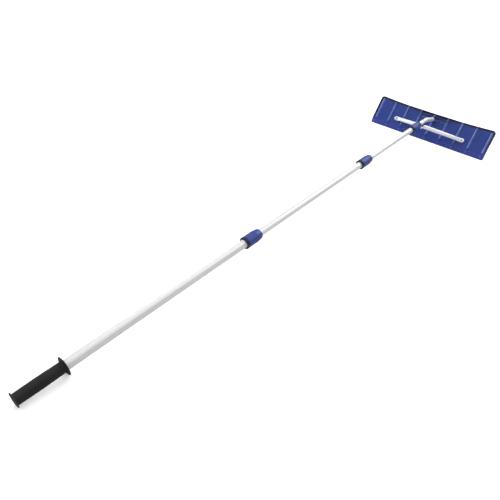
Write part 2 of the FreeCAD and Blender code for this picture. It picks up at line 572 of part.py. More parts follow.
def pressed_end():
    """The +X end of the brace, pressed from a round tube to a flat rounded foot."""
    circle = Part.Circle(PRESS_START, ARM_DOWN, BRACE_OD / 2)
    circle.XAxis = BRACE_NORMAL
    oval = Part.Ellipse(FLAT_START + BLADE_UP * BRACE_END_WIDTH / 2,
                        FLAT_START + BLADE_OUT * BRACE_END_THICK / 2, FLAT_START)
    flat_end = Part.Wire(oval.toShape())
    press = Part.makeLoft([Part.Wire(circle.toShape()), flat_end], True, False)
    foot = Part.Face(flat_end).extrude(Vector(BRACE_END_LENGTH, 0, 0))
    radius = BRACE_END_WIDTH / 2
    straight = Part.makeBox(BRACE_END_LENGTH - radius + 1, BRACE_END_WIDTH + 2, BRACE_OD,
                            Vector(-1, -radius - 1, -BRACE_OD / 2))
    tip = Part.makeCylinder(radius, BRACE_OD, Vector(BRACE_END_LENGTH - radius, 0, -BRACE_OD / 2))
    outline = straight.fuse(tip).transformed(Placement(FLAT_START, ON_BLADE.Rotation).toMatrix())
    return press.fuse(foot.common(outline))


def brace_tube():
    """Bent tube from foot to foot, which passes under the neck and is bolted to it."""
    end = pressed_end()
    solid = brace_round(BRACE_OD / 2).fuse([end, mirrored(end)]).removeSplitter()
    solid = solid.cut(brace_round(BRACE_OD / 2 - BRACE_WALL))
    for side in (-1, 1):
        centre = FOOT_CENTRE + Vector(side * BRACE_FOOT_X, 0, 0)
        solid = solid.cut(rod(centre - BLADE_OUT * BRACE_OD, centre + BLADE_OUT * BRACE_OD, BOLT_HOLE))
    return solid.cut(rod(APEX - Vector(0, 0, BRACE_OD), APEX + Vector(0, 0, BRACE_OD), BOLT_HOLE))


def brace_saddle():
    """Spacer that fits the neck above it and the brace below it."""
    half = SADDLE_LENGTH / 2
    block = box_between(-NECK_OD / 2, NECK_OD / 2, BRACE_APEX_Y - half, BRACE_APEX_Y + half,
                        APEX_Z + BRACE_OD / 4, -NECK_OD / 4)
    upright = [e for e in block.Edges if close_to(e.BoundBox.ZLength, block.BoundBox.ZLength)]
    block = block.makeFillet(SADDLE_CORNER, upright)
    block = block.cut(neck_core(NECK_OD / 2 + SEAT_GAP, NECK_TAIL_Y))
    block = block.cut(brace_round(BRACE_OD / 2 + SEAT_GAP))
    return block.cut(rod(APEX, APEX + Vector(0, 0, NECK_OD + BRACE_OD), BOLT_HOLE))


# ---- fasteners --------------------------------------------------------------------------------
def set_at(shape, seat, along):
    """Put a fastener, made along +Z from the origin, at its seat and along its own direction."""
    return shape.transformed(Placement(seat, Rotation(Vector(0, 0, 1), along)).toMatrix())


def bolt(clamped):
    """Dome-headed bolt: the head is below the origin and the shank runs up through what it clamps."""
    shank = Part.makeCylinder(BOLT_DIAMETER / 2, clamped + NUT_HEIGHT + BOLT_PAST_NUT)
    dome = (BOLT_HEAD_HEIGHT ** 2 + (BOLT_HEAD_DIAMETER / 2) ** 2) / (2 * BOLT_HEAD_HEIGHT)
    ball = Part.makeSphere(dome, Vector(0, 0, dome - BOLT_HEAD_HEIGHT))
    head = ball.common(Part.makeCylinder(dome, BOLT_HEAD_HEIGHT, Vector(0, 0, -BOLT_HEAD_HEIGHT)))
    return shank.fuse(head).removeSplitter()


def nut():
    """Hexagon nut from the origin up."""
    turns = [math.radians(60 * i) for i in range(6)]
    points = [Vector(NUT_CORNER * math.cos(turn), NUT_CORNER * math.sin(turn), 0) for turn in turns]
    solid = prism(points, Vector(0, 0, NUT_HEIGHT))
    top = NUT_CORNER - NUT_CHAMFER
    solid = solid.common(Part.makeCone(top + NUT_HEIGHT, top, NUT_HEIGHT))
    return solid.cut(Part.makeCylinder(BOLT_DIAMETER / 2 + SEAT_GAP, NUT_HEIGHT))


def washer():
    disc = Part.makeCylinder(WASHER_OD / 2, WASHER_THICK)
    return disc.cut(Part.makeCylinder(BOLT_HOLE, WASHER_THICK))


def foot_fasteners():
    """Bolts, washers and nuts of the brace's two feet, each as one group of separate solids."""
    groups = {"bolts": [], "washers": [], "nuts": []}
    inward = BLADE_OUT * -1
    for side in (-1, 1):
        centre = FOOT_CENTRE + Vector(side * BRACE_FOOT_X, 0, 0)
        seat = centre + BLADE_OUT * (BRACE_END_THICK / 2 + FACE_GAP)
        to_back = BRACE_END_THICK + FACE_GAP + FOOT_SEAT + BLADE_THICK
        washer_seat = seat + inward * (to_back + FACE_GAP)
        nut_seat = washer_seat + inward * (WASHER_THICK + FACE_GAP)
        groups["bolts"].append(set_at(bolt(to_back + WASHER_THICK + 2 * FACE_GAP), seat, inward))
        groups["washers"].append(set_at(washer(), washer_seat, inward))
        groups["nuts"].append(set_at(nut(), nut_seat, inward))
    return {name: Part.makeCompound(solids) for name, solids in groups.items()}


def cross_fasteners():
    """Bolt, washer and nut through the blade's socket and the neck's end."""
    across = Vector(-1, 0, 0)
    seat = CROSS_BOLT_CENTRE + Vector(SOCKET_FLAT + FACE_GAP, 0, 0)
    washer_seat = CROSS_BOLT_CENTRE - Vector(SOCKET_FLAT + FACE_GAP, 0, 0)
    nut_seat = washer_seat + across * (WASHER_THICK + FACE_GAP)
    clamped = 2 * (SOCKET_FLAT + FACE_GAP) + WASHER_THICK + FACE_GAP
    return (set_at(bolt(clamped), seat, across), set_at(washer(), washer_seat, across),
            set_at(nut(), nut_seat, across))


def centre_fasteners():
    """Bolt and nut through the neck, the saddle and the brace, whose bend curves down to the nut."""
    down = Vector(0, 0, -1)
    seat = Vector(0, BRACE_APEX_Y, NECK_OD / 2 + FACE_GAP)
    curve = BRACE_APEX_RADIUS - math.sqrt(BRACE_APEX_RADIUS ** 2 - NUT_CORNER ** 2)
    clamped = NECK_OD + SADDLE_THICK + BRACE_OD + 2 * FACE_GAP + curve * BRACE_OUT.z
    return set_at(bolt(clamped), seat, down), set_at(nut(), seat + down * clamped, down)


# ---- the whole rake ---------------------------------------------------------------------------
def pole_parts():
    """Every piece of the pole, section by section and lock by lock."""
    lower_bore, middle_bore, upper_bore = [od - 2 * TUBE_WALL
                                           for od in (LOWER_TUBE_OD, MIDDLE_TUBE_OD, UPPER_TUBE_OD)]
    locks = [("lower_lock", LOWER_LOCK_FOOT_Y, LOWER_TUBE_OD, MIDDLE_TUBE_OD),
             ("upper_lock", UPPER_LOCK_FOOT_Y, MIDDLE_TUBE_OD, UPPER_TUBE_OD),
             ("head_lock", HEAD_LOCK_FOOT_Y, UPPER_TUBE_OD, NECK_OD)]
    parts = {"grip": grip(), "tube_end_plug": end_plug(),
             "lower_tube": pole_tube(LOWER_TUBE_TAIL, LOWER_TUBE_END, LOWER_TUBE_OD, LOWER_LOCK_FOOT_Y),
             "middle_tube": pole_tube(MIDDLE_TUBE_TAIL, MIDDLE_TUBE_END, MIDDLE_TUBE_OD, UPPER_LOCK_FOOT_Y),
             "upper_tube": pole_tube(UPPER_TUBE_TAIL, UPPER_TUBE_END, UPPER_TUBE_OD, HEAD_LOCK_FOOT_Y),
             "middle_tube_guide": tube_guide(MIDDLE_TUBE_TAIL, MIDDLE_TUBE_OD, lower_bore),
             "upper_tube_guide": tube_guide(UPPER_TUBE_TAIL, UPPER_TUBE_OD, middle_bore),
             "neck_guide": tube_guide(NECK_TAIL_Y, NECK_OD, upper_bore)}
    for name, foot, tube_od, inner_od in locks:
        parts[name + "_sleeve"] = lock_sleeve(foot, tube_od, inner_od)
        parts[name + "_collet"] = lock_collet(foot, tube_od, inner_od)
        parts[name + "_collar"] = lock_collar(foot, tube_od, inner_od)
        parts[name + "_rivets"] = lock_rivets(foot, tube_od)
    return parts


def head_parts():
    """Every piece from the neck to the blade."""
    parts = {"neck_tube": neck_tube(), "blade": blade(), "brace_tube": brace_tube(),
             "brace_saddle": brace_saddle()}
    parts["neck_cross_bolt"], parts["neck_cross_washer"], parts["neck_cross_nut"] = cross_fasteners()
    parts["brace_centre_bolt"], parts["brace_centre_nut"] = centre_fasteners()
    for name, group in foot_fasteners().items():
        parts["brace_foot_" + name] = group
    return parts


def lying_angle(edge):
    """Angle, in radians, by which the pole rises from the grip's front flange to the blade's edge."""
    run = edge.y - (GRIP_END_Y + GRIP_LENGTH - FLANGE_THICK + FLANGE_ROUND)
    drop = -(edge.z + FRONT_FLANGE_RADIUS - FLANGE_ROUND)
    return math.atan2(drop, run) - math.asin(FLANGE_ROUND / math.hypot(run, drop))


def lay_down(parts):
    """Lay the rake on the ground, cut the scraping edge flat there, and centre it over the origin."""
    edge = BLADE_CENTRE - BLADE_UP * HALF_HEIGHT
    lying = lying_angle(edge)
    turn = Rotation(Vector(1, 0, 0), math.degrees(lying))
    ground = turn.multVec(edge).z
    down = Placement(Vector(0, 0, -ground), turn)
    laid = {name: shape.transformed(down.toMatrix()) for name, shape in parts.items()}
    below = box_between(-BLADE_LENGTH, BLADE_LENGTH, -BLADE_LENGTH, BLADE_LENGTH, -BLADE_HEIGHT, 0)
    laid["blade"] = laid["blade"].cut(below)
    low = laid["grip"].optimalBoundingBox(False).YMin
    high = laid["blade"].optimalBoundingBox(False).YMax
    middle = Vector(0, -(low + high) / 2, 0)
    for shape in laid.values():
        shape.translate(middle)
    origin = down.multVec(Vector(0, 0, 0)) + middle
    print("lying angle %.4f degrees, head lock at y %.3f z %.3f" % (math.degrees(lying), origin.y, origin.z))
    return laid


def main():
    os.makedirs("parts", exist_ok=True)
    parts = pole_parts()
    parts.update(head_parts())
    for name, shape in lay_down(parts).items():
        solids = shape.Solids
        print("%-20s solids %d valid %s volume %.0f mm3" % (name, len(solids), shape.isValid(), shape.Volume))
        whole = solids[0] if len(solids) == 1 else Part.makeCompound(solids)
        whole.exportStep("parts/%s.step" % name)


main()
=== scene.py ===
import json
import math

import bmesh
import bpy
from mathutils import Matrix, Vector


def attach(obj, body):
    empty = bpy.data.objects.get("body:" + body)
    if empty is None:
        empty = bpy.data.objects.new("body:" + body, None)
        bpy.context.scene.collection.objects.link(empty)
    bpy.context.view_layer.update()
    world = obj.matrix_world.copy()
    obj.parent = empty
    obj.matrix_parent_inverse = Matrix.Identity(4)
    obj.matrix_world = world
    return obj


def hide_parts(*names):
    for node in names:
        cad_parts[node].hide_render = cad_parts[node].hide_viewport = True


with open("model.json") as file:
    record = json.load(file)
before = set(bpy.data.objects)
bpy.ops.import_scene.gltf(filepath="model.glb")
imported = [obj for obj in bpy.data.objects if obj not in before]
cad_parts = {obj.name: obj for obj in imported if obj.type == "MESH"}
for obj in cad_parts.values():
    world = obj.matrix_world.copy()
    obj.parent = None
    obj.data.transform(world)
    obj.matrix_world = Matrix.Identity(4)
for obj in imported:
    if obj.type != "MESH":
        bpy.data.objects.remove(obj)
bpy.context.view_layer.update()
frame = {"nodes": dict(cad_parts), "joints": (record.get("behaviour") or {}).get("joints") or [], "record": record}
NODES = frame["nodes"]

# %% [markdown]
# ## The pole's own frame
# The rake lies on the ground, so its pole rises a little from the grip to the blade. Anything turned
# about the pole is far simpler to describe along the pole than along the ground. The direction and a
# point on the axis come from two of the model's own joints, so nothing has to be measured again. Lengths are
# written in millimetres here, because that is how such parts are drawn, and one matrix turns them
# into metres on the ground.
# %% Find the pole's axis
MM = 0.001
SLIDE = next(j for j in frame["joints"] if j["name"] == "middle_section_slide")
TURN = next(j for j in frame["joints"] if j["name"] == "head_turn")
AXIS = Vector(SLIDE["axis"]).normalized()
HEAD_LOCK = Vector(TURN["pos_m"])
RISE = math.atan2(AXIS.z, AXIS.y)
POLE = Matrix.Translation(HEAD_LOCK) @ Matrix.Rotation(RISE, 4, "X") @ Matrix.Scale(MM, 4)
print("pole rises", round(math.degrees(RISE), 3), "degrees")

# %% [markdown]
# ## Camera
# The rake is seen from above its right side, from near its grip, through a fairly wide lens. The near
# grip looks large and the blade small because of that. The camera's three directions are given
# outright, because it leans a few degrees to one side, which a simple aim at a point can't do.
# %% Place the camera
RIGHT = Vector((0.73869, 0.67312, 0.03541))
UP = Vector((-0.43552, 0.43652, 0.78726))
CAMERA_AT = Vector((0.9656, -1.3946, 1.1703))
LENS = 36.36

camera = bpy.data.objects.new("camera", bpy.data.cameras.new("camera"))
camera.data.lens = LENS
camera.data.sensor_width = 36
camera.data.clip_end = 60
back = RIGHT.cross(UP).normalized()
turn = Matrix((RIGHT.normalized(), back.cross(RIGHT).normalized(), back)).transposed()
camera.matrix_world = Matrix.Translation(CAMERA_AT) @ turn.to_4x4()
bpy.context.scene.collection.objects.link(camera)
bpy.context.scene.camera = camera
print("camera at", tuple(round(v, 3) for v in CAMERA_AT))

# %% [markdown]
# ## Floor and light
# The rake lies on a plain pale floor. A product like this is lit by one very large soft source from
# above and to the left. It lights the rake but isn't mirrored in it, so the tubes and panels keep
# their own colours. A tall lamp low on the left grazes the blade and draws its ribs. The floor is white
# to the eye but bounces less light than white paper would, as a grey card laid under the object would
# do, so that the undersides of tubes and grip stay darker than their tops.
# %% Lay the floor and hang the lamps
FLOOR_SIZE = 60.0
PAPER_SEEN = 0.87
PAPER_GLOW = 0.34
PAPER_BOUNCE = 0.50


def soft_lamp(name, at, aim, size, watts):
    lamp = bpy.data.lights.new(name, "AREA")
    lamp.shape = "RECTANGLE"
    lamp.size, lamp.size_y = size
    lamp.energy = watts
    holder = bpy.data.objects.new(name, lamp)
    holder.location = at
    holder.rotation_euler = (Vector(aim) - Vector(at)).to_track_quat("-Z", "Y").to_euler()
    bpy.context.scene.collection.objects.link(holder)
    return holder


bpy.ops.mesh.primitive_plane_add(size=FLOOR_SIZE)
floor = bpy.context.object
floor.name = "floor"
paper = bpy.data.materials.new("pale_paper")
paper.use_nodes = True
paper_shader = paper.node_tree.nodes["Principled BSDF"]
paper_shader.inputs["Roughness"].default_value = 0.95
paper_shader.inputs["Specular IOR Level"].default_value = 0.0
paper_shader.inputs["Emission Color"].default_value = (1, 1, 1, 1)
seen = paper.node_tree.nodes.new("ShaderNodeLightPath").outputs["Is Camera Ray"]
for socket, seen_value, bounce_value in (
        ("Base Color", PAPER_SEEN, PAPER_BOUNCE), ("Emission Strength", PAPER_GLOW, 0.0)):
    pick = paper.node_tree.nodes.new("ShaderNodeMix")
    paper.node_tree.links.new(seen, pick.inputs["Factor"])
    pick.inputs["A"].default_value = bounce_value
    pick.inputs["B"].default_value = seen_value
    paper.node_tree.links.new(pick.outputs["Result"], paper_shader.inputs[socket])
floor.data.materials.append(paper)

main_lamp = soft_lamp("main_lamp", (-3.8, 0.7, 2.9), (0.0, 0.1, 0.0), (2.6, 2.6), 150)
main_lamp.visible_glossy = False
soft_lamp("rib_lamp", (-3.1, 1.0, 0.95), (0.0, 1.1, 0.08), (0.9, 1.3), 16)
soft_lamp("rear_lamp", (0.6, 4.0, 3.0), (0.0, 0.6, 0.0), (4.0, 2.0), 60)

# %% [markdown]
# ## The room's reflection
# Even white all round would wash every glossy surface out. A photographer hangs dark cloths beside a
# white table for that reason. Here the room stays evenly pale for soft light, but what the surfaces
# mirror is dimmer near the horizon and brighter overhead, so tubes get a light top and grey sides.
# %% Build the room
WHITE_ROOM = 0.92
DIM_BELOW, BRIGHT_ABOVE = 0.35, 0.95
MIRRORED_LOW, MIRRORED_HIGH = 0.22, 1.0
world = bpy.data.worlds.new("pale_room")
world.use_nodes = True
tree = world.node_tree
direction = tree.nodes.new("ShaderNodeTexCoord")
split = tree.nodes.new("ShaderNodeSeparateXYZ")
tree.links.new(direction.outputs["Generated"], split.inputs[0])
height = tree.nodes.new("ShaderNodeMapRange")
tree.links.new(split.outputs["Z"], height.inputs["Value"])
for socket, value in (("From Min", DIM_BELOW), ("From Max", BRIGHT_ABOVE),
                      ("To Min", MIRRORED_LOW), ("To Max", MIRRORED_HIGH)):
    height.inputs[socket].default_value = value
path = tree.nodes.new("ShaderNodeLightPath")
choose = tree.nodes.new("ShaderNodeMix")
tree.links.new(path.outputs["Is Glossy Ray"], choose.inputs["Factor"])
choose.inputs["A"].default_value = WHITE_ROOM
tree.links.new(height.outputs["Result"], choose.inputs["B"])
tree.links.new(choose.outputs["Result"], tree.nodes["Background"].inputs["Strength"])
tree.nodes["Background"].inputs["Color"].default_value = (1.0, 1.0, 1.0, 1)
bpy.context.scene.world = world
bpy.context.scene.view_settings.view_transform = "Standard"
print("room", world.name)

# %% [markdown]
# ## Small helpers for building finishes
# A finish is a web of shader nodes. Naming the two steps that repeat, adding a node and joining two
# sockets, keeps each recipe below short enough to read from top to bottom.
# %% Node helpers


def add(tree, kind, **values):
    """A node of this kind; values set its properties, and inputs where the name is a socket's."""
    node = tree.nodes.new(kind)
    for name, value in values.items():
        if hasattr(node, name):
            setattr(node, name, value)
        else:
            node.inputs[name.replace("_", " ")].default_value = value
    return node


def math_step(tree, operation, first, second=None, clamp=False):
    node = tree.nodes.new("ShaderNodeMath")
    node.operation = operation
    node.use_clamp = clamp
    for socket, value in zip(node.inputs, (first, second)):
        if value is None:
            continue
        if isinstance(value, (int, float)):
            socket.default_value = value
        else:
            tree.links.new(value, socket)
    return node.outputs[0]


def blend_colours(tree, mask, first, second):
    node = tree.nodes.new("ShaderNodeMix")
    node.data_type = "RGBA"
    for socket, value in ((node.inputs["Factor"], mask), (node.inputs[6], first), (node.inputs[7], second)):
        if isinstance(value, (tuple, float)):
            socket.default_value = value if isinstance(value, float) else (*value, 1)
        else:
            tree.links.new(value, socket)
    return node.outputs[2]


def span(tree, value, low, high, to_low=0.0, to_high=1.0):
    """Stretch a value from one range to another, and hold it inside."""
    node = tree.nodes.new("ShaderNodeMapRange")
    tree.links.new(value, node.inputs["Value"])
    for name, number in (("From Min", low), ("From Max", high), ("To Min", to_low), ("To Max", to_high)):
        node.inputs[name].default_value = number
    return node.outputs["Result"]


def new_group(name, inputs, outputs):
    """An empty node group. inputs and outputs are (name, socket type, value) rows."""
    group = bpy.data.node_groups.new(name, "ShaderNodeTree")
    for way, rows in (("INPUT", inputs), ("OUTPUT", outputs)):
        for label, kind, value in rows:
            socket = group.interface.new_socket(label, in_out=way, socket_type="NodeSocket" + kind)
            if way == "INPUT" and value is not None:
                socket.default_value = value
    return group, group.nodes.new("NodeGroupInput"), group.nodes.new("NodeGroupOutput")


def place_group(tree, group, **values):
    node = tree.nodes.new("ShaderNodeGroup")
    node.node_tree = group
    for name, value in values.items():
        socket = node.inputs[name.replace("_", " ")]
        if isinstance(value, bpy.types.NodeSocket):
            tree.links.new(value, socket)
        else:
            socket.default_value = value
    return node


print("node helpers ready")

# %% [markdown]
# ## Shared effect: a place along the pole
# Drawing lines and smears from sliding hands follow the pole, not the ground. This group turns a
# point on the surface into the pole's own directions, so the same streaks fit every tube. It could
# also be done with texture maps, but those need unwrapping, and these shapes are simple enough to
# describe by position alone.
# %% Group: pole directions
group, _, ends_out = new_group("pole_directions", [], [("Point", "Vector", None)])
place = add(group, "ShaderNodeTexCoord")
moved = add(group, "ShaderNodeVectorMath", operation="SUBTRACT")
moved.inputs[1].default_value = HEAD_LOCK
group.links.new(place.outputs["Object"], moved.inputs[0])
level = add(group, "ShaderNodeVectorRotate", rotation_type="X_AXIS")
level.inputs["Angle"].default_value = -RISE
group.links.new(moved.outputs[0], level.inputs["Vector"])
group.links.new(level.outputs[0], ends_out.inputs["Point"])
POLE_DIRECTIONS = group
print("group", group.name)

# %% [markdown]
# ## Shared effect: worn edges
# Corners of plastic and metal are handled first, so they are a little paler and smoother than the
# faces between them. Comparing the true surface direction with one rounded over a small distance
# finds those corners on any mesh, and a noise breaks the line up so it doesn't look drawn on.
# %% Group: edge wear
group, ends_in, ends_out = new_group(
    "edge_wear", [("Width", "Float", 0.0008), ("Breakup", "Float", 300.0)], [("Mask", "Float", None)])
rounded = add(group, "ShaderNodeBevel", samples=4)
group.links.new(ends_in.outputs["Width"], rounded.inputs["Radius"])
true = add(group, "ShaderNodeNewGeometry")
same = add(group, "ShaderNodeVectorMath", operation="DOT_PRODUCT")
group.links.new(rounded.outputs[0], same.inputs[0])
group.links.new(true.outputs["Normal"], same.inputs[1])
edge = span(group, same.outputs["Value"], 0.995, 0.86)
broken = add(group, "ShaderNodeTexNoise", Detail=4.0, Roughness=0.6)
place = add(group, "ShaderNodeTexCoord")
group.links.new(place.outputs["Object"], broken.inputs["Vector"])
group.links.new(ends_in.outputs["Breakup"], broken.inputs["Scale"])
ragged = span(group, broken.outputs[0], 0.36, 0.62)
group.links.new(math_step(group, "MULTIPLY", edge, ragged, clamp=True), ends_out.inputs["Mask"])
EDGE_WEAR = group
print("group", group.name)

# %% [markdown]
# ## Shared effect: moulded skin
# Moulds are spark-eroded, which leaves a fine even grain, and the melt leaves broad soft swells as it
# cools. The two sizes together are what makes plastic and rubber read as moulded and not as glass.
# %% Group: moulded skin
group, ends_in, ends_out = new_group(
    "moulded_skin",
    [("Grain Scale", "Float", 2600.0), ("Swell Scale", "Float", 24.0), ("Swell", "Float", 0.6)],
    [("Height", "Float", None), ("Cloud", "Float", None)])
place = add(group, "ShaderNodeTexCoord")
grain = add(group, "ShaderNodeTexNoise", Detail=2.0, Roughness=0.55)
swell = add(group, "ShaderNodeTexNoise", Detail=2.0, Roughness=0.45)
for texture, socket in ((grain, "Grain Scale"), (swell, "Swell Scale")):
    group.links.new(place.outputs["Object"], texture.inputs["Vector"])
    group.links.new(ends_in.outputs[socket], texture.inputs["Scale"])
raised = math_step(group, "MULTIPLY", swell.outputs[0], ends_in.outputs["Swell"])
group.links.new(math_step(group, "ADD", grain.outputs[0], raised), ends_out.inputs["Height"])
group.links.new(span(group, swell.outputs[0], 0.3, 0.7), ends_out.inputs["Cloud"])
MOULDED_SKIN = group
print("group", group.name)

# %% [markdown]
# ## Shared effect: hand marks
# Everything that is carried by hand gets faint smears, where skin oil changes how it shines, and a few
# hair scratches. They only change the roughness and the relief, so they show in a highlight and
# vanish elsewhere, as real ones do.
# %% Group: hand marks
group, ends_in, ends_out = new_group(
    "hand_marks",
    [("Point", "Vector", None), ("Smear Scale", "Float", 9.0), ("Scratch Scale", "Float", 60.0)],
    [("Smear", "Float", None), ("Scratch", "Float", None)])
smear = add(group, "ShaderNodeTexNoise", Detail=5.0, Roughness=0.62, Distortion=0.5)
scratch = add(group, "ShaderNodeTexVoronoi", feature="DISTANCE_TO_EDGE", Randomness=1.0)
patch = add(group, "ShaderNodeTexNoise", Detail=2.0)
for texture in (smear, scratch, patch):
    group.links.new(ends_in.outputs["Point"], texture.inputs["Vector"])
group.links.new(ends_in.outputs["Smear Scale"], smear.inputs["Scale"])
group.links.new(ends_in.outputs["Scratch Scale"], scratch.inputs["Scale"])
patch.inputs["Scale"].default_value = 31.0
thin = span(group, scratch.outputs["Distance"], 0.012, 0.0)
some = span(group, patch.outputs[0], 0.55, 0.68)
group.links.new(span(group, smear.outputs[0], 0.35, 0.7), ends_out.inputs["Smear"])
group.links.new(math_step(group, "MULTIPLY", thin, some), ends_out.inputs["Scratch"])
HAND_MARKS = group
print("group", group.name)

# %% [markdown]
# ## Shared effect: drawing lines
# A tube is pulled through a die, which leaves hair lines along its whole length. They are noise
# stretched hundreds of times along the pole, in two widths.
# %% Group: drawing lines
group, ends_in, ends_out = new_group(
    "drawing_lines", [("Point", "Vector", None), ("Fineness", "Float", 900.0)],
    [("Height", "Float", None), ("Streak", "Float", None)])
LINE_STRETCH = 0.012
stretched = add(group, "ShaderNodeVectorMath", operation="MULTIPLY")
stretched.inputs[1].default_value = (1, LINE_STRETCH, 1)
group.links.new(ends_in.outputs["Point"], stretched.inputs[0])
hair = add(group, "ShaderNodeTexNoise", Detail=3.0, Roughness=0.7)
broad = add(group, "ShaderNodeTexNoise", Scale=150.0, Detail=2.0)
for texture in (hair, broad):
    group.links.new(stretched.outputs[0], texture.inputs["Vector"])
group.links.new(ends_in.outputs["Fineness"], hair.inputs["Scale"])
group.links.new(math_step(group, "ADD", hair.outputs[0], broad.outputs[0]), ends_out.inputs["Height"])
group.links.new(span(group, broad.outputs[0], 0.3, 0.7), ends_out.inputs["Streak"])
DRAWING_LINES = group
print("group", group.name)

# %% [markdown]
# ## A starting point for every finish
# Each finish below begins with the same few things: a material, its shader, and a bump node that
# takes the relief. The relief's depth is in metres, so it can be compared with the real surface.
# %% Start a finish


def start_finish(name, colour, metallic, roughness, depth, **fixed):
    """A material with its shader, and a bump of this depth waiting for its height."""
    finish = bpy.data.materials.new(name)
    finish.use_nodes = True
    tree = finish.node_tree
    shader = tree.nodes["Principled BSDF"]
    shader.inputs["Base Color"].default_value = (*colour, 1)
    shader.inputs["Metallic"].default_value = metallic
    shader.inputs["Roughness"].default_value = roughness
    for socket, value in fixed.items():
        shader.inputs[socket.replace("_", " ")].default_value = value
    bump = add(tree, "ShaderNodeBump", Distance=depth, Strength=1.0)
    tree.links.new(bump.outputs[0], shader.inputs["Normal"])
    return finish, tree, shader, bump


def rounded_corners(tree, bump, radius):
    """Let sharp moulded corners catch the light as if they had this radius."""
    soft = add(tree, "ShaderNodeBevel", samples=4, Radius=radius)
    tree.links.new(soft.outputs[0], bump.inputs["Normal"])


print("finish starter ready")

# %% [markdown]
# ## Shared effect: the blade's painted shade band
# A band of painted shade runs all round the blade. It is darker where the top lip and the end strips turn
# away from the light, and it also runs along the scraping edge. The band is described by distance: from both
# ends, from the scraping edge, and from the top edge, and it reaches a little lower in the middle. The
# panel's own two directions make that easy.
# which dips a little in the middle. The panel's own two directions make that easy.
# %% Group: blade shade band
BLADE_TILT = math.radians(37.0)
BLADE_MIDDLE = Vector((0.0, 193.8, -63.1))
BLADE_UP = Vector((0.0, math.sin(BLADE_TILT - RISE), math.cos(BLADE_TILT - RISE)))
HALF_LENGTH = 0.324
HALF_HEIGHT = 0.0775
# where the painted shade band lies: its dip at the top middle, and its widths at the ends, top and foot
TOP_DIP = 0.010
SIDE_BAND, TOP_BAND, BOTTOM_BAND = 0.0115, 0.0095, 0.0205

group, _, ends_out = new_group(
    "blade_shade_band", [], [("Mask", "Float", None), ("Up", "Float", None), ("Across", "Float", None)])
place = add(group, "ShaderNodeTexCoord")
moved = add(group, "ShaderNodeVectorMath", operation="SUBTRACT")
moved.inputs[1].default_value = POLE @ BLADE_MIDDLE
group.links.new(place.outputs["Object"], moved.inputs[0])
across = add(group, "ShaderNodeSeparateXYZ")
group.links.new(moved.outputs[0], across.inputs[0])
upward = add(group, "ShaderNodeVectorMath", operation="DOT_PRODUCT")
upward.inputs[1].default_value = BLADE_UP
group.links.new(moved.outputs[0], upward.inputs[0])
out_x = math_step(group, "ABSOLUTE", across.outputs["X"])
share = math_step(group, "POWER", math_step(group, "DIVIDE", out_x, HALF_LENGTH), 2.0)
edge = math_step(group, "ADD", math_step(group, "MULTIPLY", share, TOP_DIP), HALF_HEIGHT - TOP_DIP - TOP_BAND)
at_end = math_step(group, "GREATER_THAN", out_x, HALF_LENGTH - SIDE_BAND)
at_top = math_step(group, "GREATER_THAN", upward.outputs["Value"], edge)
at_foot = math_step(group, "LESS_THAN", upward.outputs["Value"], BOTTOM_BAND - HALF_HEIGHT)
either = math_step(group, "MAXIMUM", at_end, at_top)
group.links.new(math_step(group, "MAXIMUM", either, at_foot), ends_out.inputs["Mask"])
group.links.new(upward.outputs["Value"], ends_out.inputs["Up"])
group.links.new(across.outputs["X"], ends_out.inputs["Across"])
BLADE_SHADE_BAND = group
print("group", group.name)

# %% [markdown]
# ## Shared effect: painted rib highlights
# Pale highlight lines are painted along both edges of each rib's crown, as light from the left would
# glint on them. The left edges face that light, so their painted lines are wider and stronger. The lines
# stop where the ribs taper away and come back as a small painted highlight on each toe. Repeating the
# distance from the nearest rib marks all of them at once.
# %% Group: painted rib highlights
RIB_PITCH = 0.077
RIB_EDGE = 0.0029
HIGHLIGHT_FROM, HIGHLIGHT_TO = -0.046, 0.064
TOE_FROM, TOE_TO = -0.0675, -0.0615

group, ends_in, ends_out = new_group(
    "painted_rib_highlights", [("Across", "Float", 0.0), ("Up", "Float", 0.0)], [("Mask", "Float", None)])
nearest = math_step(group, "WRAP", ends_in.outputs["Across"], 0.5 * RIB_PITCH)
nearest.node.inputs[2].default_value = -0.5 * RIB_PITCH
lines = []
# the left crown edge gets the wider, stronger painted highlight
for side, half_width, strength in ((-1, 0.0024, 1.0), (1, 0.0015, 0.6)):
    off = math_step(group, "ABSOLUTE", math_step(group, "SUBTRACT", nearest, side * RIB_EDGE))
    line = span(group, off, half_width, 0.5 * half_width)
    lines.append(math_step(group, "MULTIPLY", line, strength))
both = math_step(group, "MAXIMUM", *lines)
up = ends_in.outputs["Up"]
on_rib = math_step(group, "MULTIPLY", span(group, up, HIGHLIGHT_FROM, HIGHLIGHT_FROM + 0.006),
                   span(group, up, HIGHLIGHT_TO + 0.004, HIGHLIGHT_TO))
# a weaker painted highlight on each rib's toe
on_toe = math_step(group, "MULTIPLY", math_step(group, "GREATER_THAN", up, TOE_FROM),
                   math_step(group, "LESS_THAN", up, TOE_TO))
where = math_step(group, "ADD", on_rib, math_step(group, "MULTIPLY", on_toe, 0.55))
group.links.new(math_step(group, "MULTIPLY", both, where, clamp=True), ends_out.inputs["Mask"])
RIB_HIGHLIGHTS = group
print("group", group.name)

# %% [markdown]
# ## Blade plastic
# The blade is moulded in one piece from a tough blue polypropylene. It is glossy enough for its ribs
# to carry sharp highlights, with a slight orange-peel from the mould. Pale highlights are painted along
# the edges of the ribs' crowns, in the same pale as the worn corners. A band of painted shade runs round
# the panels, navy at the top and the ends and purple-blue along the scraping edge, and the panels are
# painted a little more purple towards the bottom as shade.
# %% Finish: blade plastic
BLADE_BLUE = (0.012, 0.041, 0.235)
BLADE_DEEP = (0.009, 0.029, 0.19)
# purple painted shade that the lower panels blend towards
BLADE_LOW_SHADE = (0.018, 0.036, 0.27)
